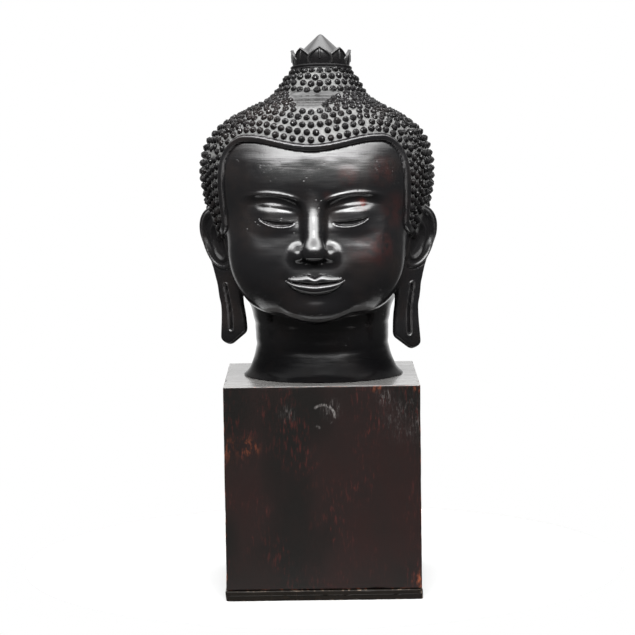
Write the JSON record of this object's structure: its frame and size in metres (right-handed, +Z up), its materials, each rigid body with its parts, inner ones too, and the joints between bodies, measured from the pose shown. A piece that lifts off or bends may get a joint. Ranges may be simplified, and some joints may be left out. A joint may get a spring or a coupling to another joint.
{
  "type": "bronze buddha head on a wooden block",
  "caption": "Cast bronze Buddha head with curled hair, a pointed crown knob, long ear lobes and a round neck, standing on a square dark wooden block",
  "frame": {"origin": "middle of the stand's underside", "axes": "+Z up, the block's front and the face towards -Y, +X to the viewer's right"},
  "size_m": [0.1671, 0.1781, 0.388],
  "materials": {
    "dark_bronze": "near-black patina, waxed to a soft gloss, with small worn red-brown patches",
    "stained_wood": "black-brown stain rubbed through to red along the grain and at the edges",
    "base_board_wood": "near-black stain, dull, worn pale on its upper edge"
  },
  "bodies": {
    "root": {"bronze_head": "dark_bronze", "wooden_block": "stained_wood", "base_board": "base_board_wood"}
  },
  "joints": []
}
